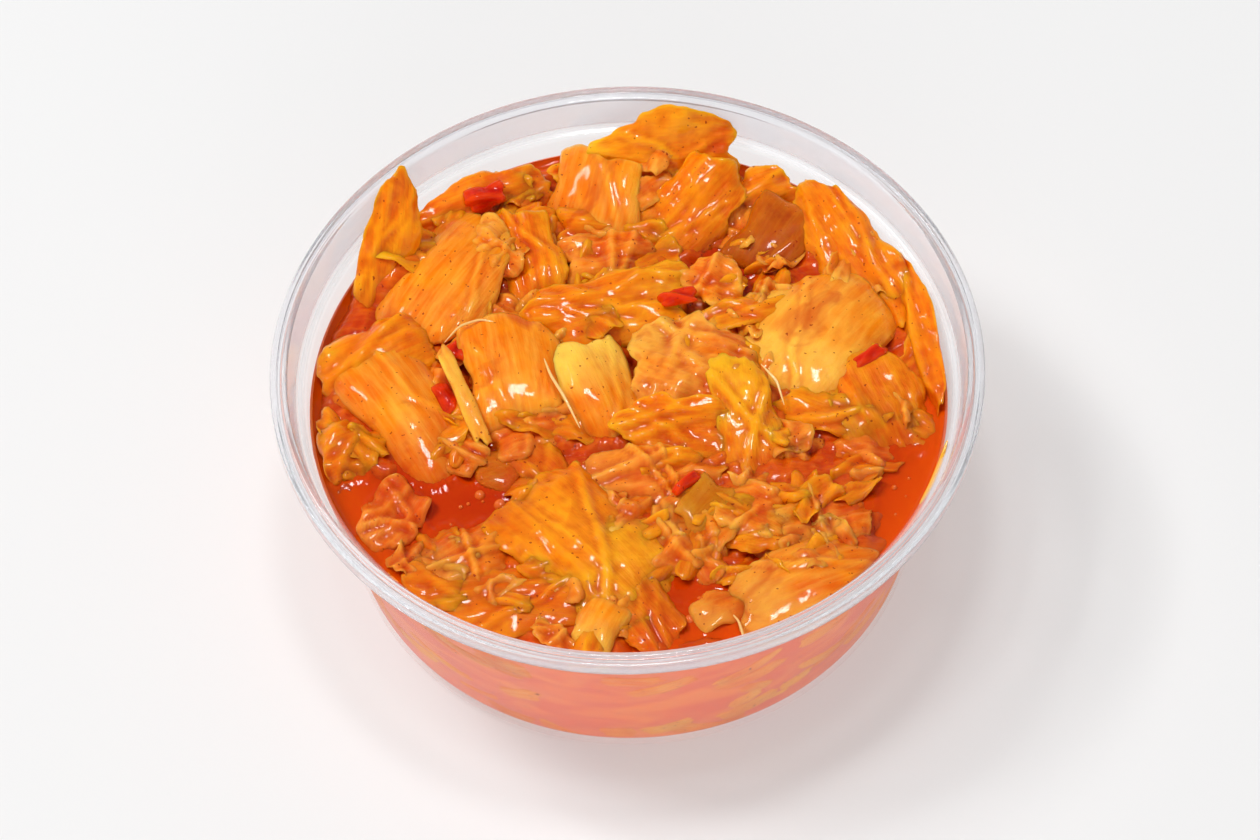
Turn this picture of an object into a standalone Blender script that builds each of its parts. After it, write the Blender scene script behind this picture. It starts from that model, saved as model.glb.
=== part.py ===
"""A clear plastic tub of kimchi: the turned tub, and one heap of cabbage pieces in their brine.

Frame: metres, +Z up, origin on the floor at the centre of the tub's base, -Y towards the viewer.
Driving sizes below are millimetres and are multiplied by MM where a mesh is made.
"""

import collections
import math

import bmesh
import bpy
import numpy as np
from mathutils import Matrix, Vector

MM = 0.001

# Driving sizes of the tub
RIM_RADIUS = 58.5
TUB_HEIGHT = 42.6
BASE_RADIUS = 47.6
WALL = 0.9
LEDGE_HEIGHT = 36.6
LEDGE_RADIUS = 52.9
LEDGE_STEP = 1.5
MOUTH_RADIUS = 55.7
FOOT_RECESS = 0.8
FOOT_WIDTH = 3.0
FLOOR_TOP = FOOT_RECESS + WALL
TURNED_STEPS = 72

# Driving sizes of the contents
BRINE_LEVEL = 32.0
GAP = 0.35
HEAP_RINGS = 12
HEAP_SPOKES = 48
BED_REACH = 0.62
BED_DEPTH = 0.3
SQUASH_ZONE = 3.0
SEED = 7

# Between the pieces lies mush at this level, except for pools of open brine: x and y of the middle, half-width and
# half-depth.
MUSH_LEVEL = 33.6
POOLS = [(-32, -20, 17, 10), (9, -42, 10, 8), (45, -18, 8, 13), (17, 26, 6, 4), (-46, -28, 8, 8)]

# A cabbage piece as it lies in the heap. x, y, z place its middle; heading turns its long axis from +X, pitch lifts
# its tip, roll lifts its left side. arch and cup are the degrees it curves along and across, convex side up where
# positive. frill is the height of its waves and round runs from 0, a cut square, to 1, an oval.
Piece = collections.namedtuple(
    "Piece", "name x y z heading pitch roll length width root tip arch cup frill round"
)
PIECES = [
    Piece("crown", 8, 46.5, 38.5, 0, 0, 48, 25.5, 15, 1.6, 1.0, 24, 18, 1.0, 0.5),
    Piece("back_stem", -5, 39.5, 35.2, 75, 24, -10, 17.5, 16, 3.5, 1.8, 9, 30, 0.4, 0.3),
    Piece("back_fold", 11, 36, 36, 42, 20, 12, 21, 15, 2.0, 1.0, 15, 36, 0.9, 0.5),
    Piece("back_tip", 24, 40, 35, 22, 8, 25, 12, 9, 1.4, 0.8, 18, 24, 0.9, 0.6),
    Piece("dark_slice", 25, 31, 34.5, 55, 12, 0, 14.5, 11.5, 3.0, 2.4, 6, 6, 0.2, 0.3),
    Piece("right_crest", 37, 27, 36.5, 118, 5, -20, 27.5, 15, 1.8, 0.9, 18, 36, 0.9, 0.6),
    Piece("bulb", 31, 10, 36, 50, 5, 0, 26.5, 24, 4.0, 2.2, 33, 48, 0.5, 0.7),
    Piece("wall_leaf", 47.5, 12, 35, -79, -2, 45, 36.5, 10.5, 1.6, 1.0, 12, 24, 0.8, 0.5),
    Piece("wall_inner", 43, 21, 34.5, -81, 0, 30, 22, 7, 1.5, 0.9, 12, 24, 0.8, 0.5),
    Piece("fan", 42, -5, 34.5, 113, 12, 0, 21, 17, 1.2, 2.0, 21, 36, 0.8, 0.8),
    Piece("right_strip", 33, -6, 34.8, -19, -4, 10, 17.5, 7, 1.4, 0.9, 9, 36, 0.5, 0.3),
    Piece("float_right", 37, -13, 32.6, -3, 0, 0, 13, 9.5, 3.0, 2.2, 24, 36, 0.5, 0.8),
    Piece("bits_right", 28, -12, 33, -7, 0, 10, 7.5, 5.5, 2.4, 1.6, 24, 24, 0.5, 0.7),
    Piece("drape", 19, -8, 36, -86, -14, 0, 24, 11, 1.6, 1.0, 21, 54, 0.7, 0.5),
    Piece("lip_oval", 7, -8, 35.5, -4, -3, 22, 18.5, 11.5, 1.2, 1.2, 0, -54, 0.4, 0.9),
    Piece("crumple_mid", 10, 4, 36.8, -22, 0, 8, 20, 19.5, 1.6, 1.0, 24, 24, 1.5, 0.7),
    Piece("slab_left", -19, 5, 36, 99, 8, 0, 20, 16, 4.0, 3.2, 9, 15, 0.3, 0.25),
    Piece("vein_leaf", -2, 16.5, 36.5, -170, -2, -12, 27.5, 13.5, 1.0, 1.6, 18, 27, 0.9, 0.5),
    Piece("pale_fold", -5, 1, 36, -68, -8, 0, 18.5, 12.5, 3.0, 1.8, 18, 33, 0.7, 0.4),
    Piece("fan_left", -16, 27, 35.5, 100, 12, -8, 20, 11.5, 2.2, 1.0, 18, 36, 0.8, 0.5),
    Piece("upper_lobe", -30, 24, 36, 55, 6, -8, 28.5, 18, 3.8, 2.0, 27, 42, 0.5, 0.6),
    Piece("crinkle_left", -22, 29, 37, -45, 3, 10, 12, 10.5, 1.6, 0.9, 30, 24, 1.2, 0.6),
    Piece("sentinel", -39, 28, 38, 80, 40, 20, 26, 10.5, 1.4, 0.8, -9, 36, 1.1, 0.5),
    Piece("back_left", -24, 40, 34.5, 19, 3, 30, 26.5, 10.5, 1.6, 0.9, 18, 30, 1.0, 0.5),
    Piece("left_lobe", -36.5, -1, 34.8, -58, -6, 0, 34, 16, 3.8, 2.4, 27, 54, 0.5, 0.5),
    Piece("left_wrap", -42, 8, 35.5, 30, 5, 10, 21, 13.5, 2.0, 1.2, 24, 36, 0.8, 0.5),
    Piece("left_knob", -46, -9, 34, 30, -5, 10, 13, 11.5, 2.0, 1.2, 30, 36, 0.9, 0.8),
    Piece("stick", -27, -1, 36.8, -69, -8, 0, 19, 2.6, 2.4, 1.6, 10, 60, 0.1, 0.2),
    Piece("shore_lump", -17, -6, 34, 18, 3, 0, 13, 10.5, 2.6, 1.4, 24, 24, 1.0, 0.7),
    Piece("green_disc", -21.5, -13, 33, 12, 0, 0, 8, 8, 2.0, 1.6, 20, 30, 0.2, 1.0),
    Piece("float_pair", -39, -22, 33, 59, 5, 0, 14.5, 10.5, 2.6, 1.6, 18, -36, 0.5, 0.8),
    Piece("float_lump", -27, -31, 33.4, 26, 3, 0, 16.5, 13.5, 2.8, 1.6, 27, 30, 0.9, 0.6),
    Piece("near_left_leaf", -22, -39, 34, -1, 4, 6, 32, 13.5, 1.8, 1.4, 15, 36, 0.8, 0.5),
    Piece("near_slab", -7, -30, 35, 131, 4, 0, 32, 21.5, 3.4, 1.8, 24, 33, 0.8, 0.5),
    Piece("near_stem", -6, -45, 34, 59, 8, 0, 10, 8, 4.0, 3.0, 12, 42, 0.2, 0.5),
    Piece("near_fold", 2, -43.5, 33.8, -58, -6, 0, 13, 10.5, 2.4, 1.4, 18, 36, 0.8, 0.5),
    Piece("near_crumple", 8, -28, 34.3, 46, 3, 0, 15.5, 13.5, 2.0, 1.2, 24, 30, 1.3, 0.6),
    Piece("green_wedge", 12, -23, 34.3, 52, 0, 8, 10, 8, 2.4, 1.8, 3, 6, 0.2, 0.2),
    Piece("knot_right", 20, -25, 34.5, -34, -3, 0, 14.5, 12.5, 2.2, 1.4, 30, 36, 1.2, 0.7),
    Piece("lobed_right", 30, -26, 34, 15, 2, 0, 17.5, 12.5, 2.2, 1.4, 18, 30, 1.1, 0.6),
    Piece("near_oval", 27, -38.5, 34, 22, 2, 4, 25.5, 16, 3.6, 2.6, 21, 30, 0.2, 0.8),
    Piece("center_low", 3, -17, 34.5, 8, 1, 6, 24, 12.5, 1.8, 1.2, 18, 30, 1.3, 0.5),
    Piece("top_mid", -3, 28, 35, 11, 0, 10, 15.5, 10.5, 2.2, 1.4, 18, 24, 1.1, 0.6),
    Piece("mid_crinkle", 15, 21, 36.5, -25, 0, 5, 11, 9, 1.8, 1.0, 30, 30, 1.2, 0.7),
    Piece("mid_strand", 20, 14.5, 36.2, 14, 0, 0, 17.5, 5.5, 1.4, 1.0, 12, 36, 0.5, 0.3),
    Piece("pale_under", 13, -42, 33, 26, 0, 0, 9, 7, 2.2, 1.6, 18, 30, 0.5, 0.5),
    Piece("red_patch", -23, 40, 37, 12, 10, 30, 7.5, 5, 1.2, 0.9, 12, 18, 0.2, 0.5),
    Piece("chilli_dark", -26, 10, 36, 55, 0, 0, 7, 6, 1.2, 1.0, 10, 20, 0.2, 0.3),
    Piece("chilli_side", -30, 0, 35.2, -67, 0, 0, 7, 4, 1.2, 1.0, 20, 30, 0.2, 0.5),
    Piece("chilli_mid", 9, 17, 38, 8, 0, 0, 6.5, 3.4, 1.4, 1.0, 20, 30, 0.3, 0.6),
    Piece("chilli_sliver", 9, -19, 35.6, 42, 0, 0, 6, 1.8, 1.4, 1.0, 10, 20, 0.1, 0.4),
    Piece("chilli_right", 40, 4, 36.5, 32, 0, 0, 6, 2.4, 1.4, 1.0, 10, 20, 0.1, 0.4),
]


def material(name, colour, roughness):
    """A plain Principled material."""
    made = bpy.data.materials.new(name)
    made.use_nodes = True
    shader = made.node_tree.nodes["Principled BSDF"]
    shader.inputs["Base Color"].default_value = (*colour, 1)
    shader.inputs["Roughness"].default_value = roughness
    return made


def collection(name, hidden=False):
    made = bpy.data.collections.new(name)
    made.hide_render = hidden
    bpy.context.scene.collection.children.link(made)
    return made


def mesh_object(name, points, faces, home):
    """A mesh object from points in millimetres."""
    mesh = bpy.data.meshes.new(name)
    mesh.from_pydata([tuple(float(c) * MM for c in p) for p in points], [], faces)
    mesh.update()
    made = bpy.data.objects.new(name, mesh)
    home.objects.link(made)
    return made


def inner_radius(z):
    """The tub's inner wall below its ledge, in millimetres, continued straight on above it."""
    corner, start = BASE_RADIUS - WALL, FLOOR_TOP + 1.6
    return corner + (LEDGE_RADIUS - corner) * max(z - start, 0) / (LEDGE_HEIGHT - start)


def tub_profile():
    """(radius, height) pairs: from the axis out under the foot, up the outside, over the rim and down the inside."""
    lip_bottom = TUB_HEIGHT - 2.4
    flange_under = TUB_HEIGHT - 1.1
    ledge_outside = LEDGE_RADIUS + WALL
    return [
        (0, FOOT_RECESS),
        (BASE_RADIUS - FOOT_WIDTH - 1.0, FOOT_RECESS),
        (BASE_RADIUS - FOOT_WIDTH, 0),
        (BASE_RADIUS - 1.8, 0),
        (BASE_RADIUS - 0.45, 0.7),
        (BASE_RADIUS + 0.25, 2.2),
        (ledge_outside, LEDGE_HEIGHT - 1.2),
        (ledge_outside + LEDGE_STEP, LEDGE_HEIGHT - 0.3),
        (MOUTH_RADIUS + 0.9, flange_under),
        (RIM_RADIUS - 0.9, flange_under),
        (RIM_RADIUS - 0.8, lip_bottom),
        (RIM_RADIUS, lip_bottom),
        (RIM_RADIUS, TUB_HEIGHT - 0.5),
        (RIM_RADIUS - 0.5, TUB_HEIGHT),
        (RIM_RADIUS - 1.2, TUB_HEIGHT - 0.3),
        (MOUTH_RADIUS + 1.1, TUB_HEIGHT - 0.3),
        (MOUTH_RADIUS + 0.6, TUB_HEIGHT),
        (MOUTH_RADIUS, TUB_HEIGHT - 0.4),
        (LEDGE_RADIUS + LEDGE_STEP, LEDGE_HEIGHT + 0.5),
        (LEDGE_RADIUS, LEDGE_HEIGHT),
        (BASE_RADIUS - WALL, FLOOR_TOP + 1.6),
        (BASE_RADIUS - WALL - 1.6, FLOOR_TOP),
        (0, FLOOR_TOP),
    ]


def turned(name, profile, home):
    """A profile of (radius, height) pairs turned about Z by a Screw modifier."""
    points = [(radius, 0, height) for radius, height in profile]
    made = mesh_object(name, points, [], home)
    count = len(points)
    made.data.edges.add(count - 1)
    for edge in made.data.edges:
        edge.vertices = (edge.index, edge.index + 1)
    screw = made.modifiers.new("turn", "SCREW")
    screw.axis = "Z"
    screw.angle = math.tau
    screw.steps = TURNED_STEPS
    screw.render_steps = TURNED_STEPS
    screw.use_merge_vertices = True
    screw.merge_threshold = 0.00001
    screw.use_normal_calculate = True
    return made


def bed_height(x, y):
    """Height of the heap's core under the pieces: mush, low in the pools and at the wall, raised to carry each piece."""
    depth = MUSH_LEVEL - BRINE_LEVEL
    height = MUSH_LEVEL
    for pool_x, pool_y, wide, deep in POOLS:
        far = ((x - pool_x) / wide) ** 2 + ((y - pool_y) / deep) ** 2
        height -= depth * math.exp(-far * 1.2)
    height -= depth * math.exp((math.hypot(x, y) - 52) / 1.5)
    height = max(height, BRINE_LEVEL)
    for piece in PIECES:
        reach = BED_REACH * (piece.length + piece.width) / 2
        far = math.hypot(x - piece.x, y - piece.y) / reach
        if far < 1:
            top = piece.z - BED_DEPTH * (piece.root + piece.tip) / 2
            height = max(height, BRINE_LEVEL + (top - BRINE_LEVEL) * (1 - far**2) ** 1.5)
    return height


def core(home):
    """The heap and its brine below the pieces: rings of points from the floor's middle to the middle of the top."""
    floor = FLOOR_TOP + GAP
    side = [
        (BASE_RADIUS - WALL - 1.6 - GAP, floor),
        (BASE_RADIUS - WALL - GAP, floor + 1.6),
        (inner_radius(BRINE_LEVEL) - GAP, BRINE_LEVEL),
    ]
    top_radius = side[-1][0]
    angles = [math.tau * spoke / HEAP_SPOKES for spoke in range(HEAP_SPOKES)]
    points = [(0, 0, floor)]
    for radius, height in side:
        points += [(radius * math.cos(a), radius * math.sin(a), height) for a in angles]
    for ring in range(1, HEAP_RINGS):
        radius = top_radius * (1 - ring / HEAP_RINGS)
        for a in angles:
            x, y = radius * math.cos(a), radius * math.sin(a)
            points.append((x, y, bed_height(x, y)))
    points.append((0, 0, bed_height(0, 0)))
    rings = len(side) + HEAP_RINGS - 1
    faces = []
    for spoke in range(HEAP_SPOKES):
        after = (spoke + 1) % HEAP_SPOKES
        faces.append((0, 1 + after, 1 + spoke))
        for ring in range(rings - 1):
            low, high = 1 + ring * HEAP_SPOKES, 1 + (ring + 1) * HEAP_SPOKES
            faces.append((low + spoke, low + after, high + after, high + spoke))
        last = 1 + (rings - 1) * HEAP_SPOKES
        faces.append((last + spoke, last + after, len(points) - 1))
    return mesh_object("kimchi", points, faces, home)


def curved(s, q, piece):
    """A point of the piece's middle surface, s along and q across in millimetres, bent by arch and cup."""
    across = math.radians(piece.cup) / piece.width or 1e-6
    along = math.radians(piece.arch) / piece.length or 1e-6
    y, z = math.sin(q * across) / across, (math.cos(q * across) - 1) / across
    radius = 1 / along + z
    return Vector((math.sin(s * along) * radius, y, math.cos(s * along) * radius - 1 / along))


def stay_inside(point):
    """Draws a point that comes near the tub's wall inwards, so that the piece lies clear of it."""
    limit = inner_radius(point.z) - GAP
    radius = math.hypot(point.x, point.y)
    start = limit - SQUASH_ZONE
    if radius > start:
        drawn = start + SQUASH_ZONE * (1 - math.exp(-(radius - start) / SQUASH_ZONE))
        point = Vector((point.x * drawn / radius, point.y * drawn / radius, point.z))
    return point


def divisions(piece):
    """Cells along and across a piece: more on a large one."""
    if piece.length * piece.width < 50:
        return 3, 2
    return (6, 4) if piece.length * piece.width > 200 else (4, 3)


def cabbage(piece, rng, home):
    """One piece as a thin wavy solid: an upper and a lower face split alike, joined round the edge."""
    along, across = divisions(piece)
    waves = rng.uniform(0, math.tau, 6)
    turn = (
        Matrix.Rotation(math.radians(piece.heading), 3, "Z")
        @ Matrix.Rotation(-math.radians(piece.pitch), 3, "Y")
        @ Matrix.Rotation(math.radians(piece.roll), 3, "X")
    )
    sheets = ([], [])
    for i in range(along + 1):
        for j in range(across + 1):
            u, v = 2 * i / along - 1, 2 * j / across - 1
            edge = max(abs(u), abs(v))
            angle = math.atan2(v, u)
            ragged = 1 + 0.09 * edge * (
                math.sin(3 * angle + waves[0]) + math.sin(5 * angle + waves[1]) * 0.7
            )
            s = u * math.sqrt(1 - piece.round * v * v / 2) * ragged * piece.length / 2
            q = v * math.sqrt(1 - piece.round * u * u / 2) * ragged * piece.width / 2
            lift = piece.frill * (
                0.6 * math.sin(2.2 * u + waves[2]) * math.sin(2.6 * v + waves[3])
                + 0.5 * edge**2 * math.sin(4 * angle + waves[4])
            )
            middle = curved(s, q, piece)
            step = 0.05
            normal = (curved(s + step, q, piece) - middle).cross(curved(s, q + step, piece) - middle).normalized()
            thick = piece.root + (piece.tip - piece.root) * (u + 1) / 2
            half = thick / 2 * (1 - 0.55 * edge**3)
            for sheet, side in zip(sheets, (half, -half), strict=True):
                placed = turn @ (middle + normal * (side + lift)) + Vector((piece.x, piece.y, piece.z))
                sheet.append(stay_inside(placed))
    row, count = across + 1, (along + 1) * (across + 1)
    faces = []
    for i in range(along):
        for j in range(across):
            a, b, c, d = i * row + j, (i + 1) * row + j, (i + 1) * row + j + 1, i * row + j + 1
            faces += [(a, b, c), (a, c, d)]
            faces += [(count + c, count + b, count + a), (count + d, count + c, count + a)]
    border = [i * row for i in range(along)]
    border += [along * row + j for j in range(across)]
    border += [i * row + across for i in range(along, 0, -1)]
    border += list(range(across, 0, -1))
    for here, after in zip(border, border[1:] + border[:1], strict=True):
        faces.append((here, count + here, count + after))
        faces.append((here, count + after, after))
    return mesh_object(piece.name, sheets[0] + sheets[1], faces, home)


def fuse(body, others):
    """Joins a collection's objects to the body by one Boolean union, applied, and removes them."""
    union = body.modifiers.new("union", "BOOLEAN")
    union.operation = "UNION"
    union.operand_type = "COLLECTION"
    union.collection = others
    union.solver = "MANIFOLD"
    graph = bpy.context.evaluated_depsgraph_get()
    joined = bpy.data.meshes.new_from_object(body.evaluated_get(graph))
    body.modifiers.clear()
    body.data = joined
    for other in list(others.objects):
        bpy.data.objects.remove(other)
    bpy.data.collections.remove(others)


def tidy(body):
    """Splits the faces into triangles, and drops any loose scrap and any sealed hollow."""
    shape = bmesh.new()
    shape.from_mesh(body.data)
    bmesh.ops.triangulate(shape, faces=shape.faces)
    islands, seen = [], set()
    for start in shape.verts:
        if start in seen:
            continue
        island, edge = {start}, [start]
        while edge:
            for link in edge.pop().link_edges:
                for vert in link.verts:
                    if vert not in island:
                        island.add(vert)
                        edge.append(vert)
        seen |= island
        islands.append(island)
    islands.sort(key=len)
    for island in islands[:-1]:
        bmesh.ops.delete(shape, geom=list(island), context="VERTS")
    shape.to_mesh(body.data)
    shape.free()


def main():
    for old in list(bpy.data.objects):
        bpy.data.objects.remove(old)
    home = collection("kimchi_tub")
    loose = collection("pieces")
    rng = np.random.default_rng(SEED)

    tub = turned("tub", tub_profile(), home)
    tub.data.materials.append(material("clear_plastic", (0.86, 0.88, 0.90), 0.15))

    heap = core(home)
    for piece in PIECES:
        cabbage(piece, rng, loose)
    fuse(heap, loose)
    tidy(heap)
    heap.data.materials.append(material("kimchi_orange", (0.90, 0.33, 0.03), 0.3))


main()
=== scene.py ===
import collections
import math

import bpy
import numpy as np
from mathutils import Matrix, Vector, kdtree


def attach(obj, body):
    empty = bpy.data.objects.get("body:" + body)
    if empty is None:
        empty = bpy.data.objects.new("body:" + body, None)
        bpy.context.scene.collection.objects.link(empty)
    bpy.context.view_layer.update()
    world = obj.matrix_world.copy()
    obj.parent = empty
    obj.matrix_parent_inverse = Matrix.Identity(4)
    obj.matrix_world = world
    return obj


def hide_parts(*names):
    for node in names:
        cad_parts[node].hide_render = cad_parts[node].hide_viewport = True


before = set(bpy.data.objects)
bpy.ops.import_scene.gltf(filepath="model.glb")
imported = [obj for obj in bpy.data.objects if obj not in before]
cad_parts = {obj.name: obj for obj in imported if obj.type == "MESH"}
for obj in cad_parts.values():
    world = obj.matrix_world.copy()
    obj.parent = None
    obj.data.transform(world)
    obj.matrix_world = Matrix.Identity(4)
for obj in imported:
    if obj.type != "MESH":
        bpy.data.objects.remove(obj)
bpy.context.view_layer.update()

MM = 0.001

# Sizes shared with the part, in millimetres
RIM_RADIUS = 58.5
TUB_HEIGHT = 42.6
BASE_RADIUS = 47.6
WALL = 0.9
LEDGE_HEIGHT = 36.6
LEDGE_RADIUS = 52.9
LEDGE_STEP = 1.5
MOUTH_RADIUS = 55.7
FOOT_RECESS = 0.8
FOOT_WIDTH = 3.0
FLOOR_TOP = FOOT_RECESS + WALL
FLOOR_CURVE = 1.6
LIP_DEPTH = 2.4
FLANGE_DEPTH = 1.1

# Sizes of the looks alone, in millimetres
BRINE_LEVEL = 32.3
MUSH_LEVEL = 34.0
BED_DEPTH = 1.2
CLIMB = 0.8
CLIMB_REACH = 0.7
SHORE_BAND = 0.3
BED_RADIUS = 52
BED_FALL = 0.8
GAP = 0.2
SQUASH_ZONE = 1.8
BRINE_REACH = 0.1
SIDE_REACH = 0.6
BED_INSET = 0.6
PRESSED_DEPTH = 0.9
PRESSED_RADIUS = 50
FOOT_CLEARANCE = 0.02
GROOVE_DEPTH = 0.35
SCRAP_REACH = 50
SCRAP_SIZES = (6, 13)

# Fineness and number of what repeats; CELL is the mesh of the pieces in millimetres, DISC_HOLE a share
TURNED_STEPS = 256
BEND_STEPS = 4
BED_RINGS = 120
BED_SPOKES = 360
DISC_HOLE = 0.05
CELL = 0.52
ALONG_LIMITS = (12, 64)
ACROSS_LIMITS = (10, 44)
PRESSED_DIVISIONS = (28, 12)
STRAND_STEPS = 24
STRAND_SIDES = 8
BUBBLE_RINGS = 7
BUBBLE_SPOKES = 20
SCRAPS = 150
PRESSED = 90

# Seeds of what is drawn at random; the part draws its waves from the first
SEED = 7
NOISE_SEED = 3
PRESSED_SEED = 5
BUBBLE_SEED = 11

# Camera as found from the photo's ellipses: pixels on the picture, degrees, and its distance in millimetres
PICTURE = (1260, 840)
FOCAL = 4893
AXIS_PIXEL = (627, 364)
ELEVATION = 54.15
ROLL = -2.2
DISTANCE = 800

# Open brine in the heap: x and y of the middle, half-width and half-depth
POOLS = [(-32, -20, 17, 10), (9, -42, 10, 8), (45, -18, 8, 13), (17, 26, 6, 4), (-46, -28, 8, 8)]

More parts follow.
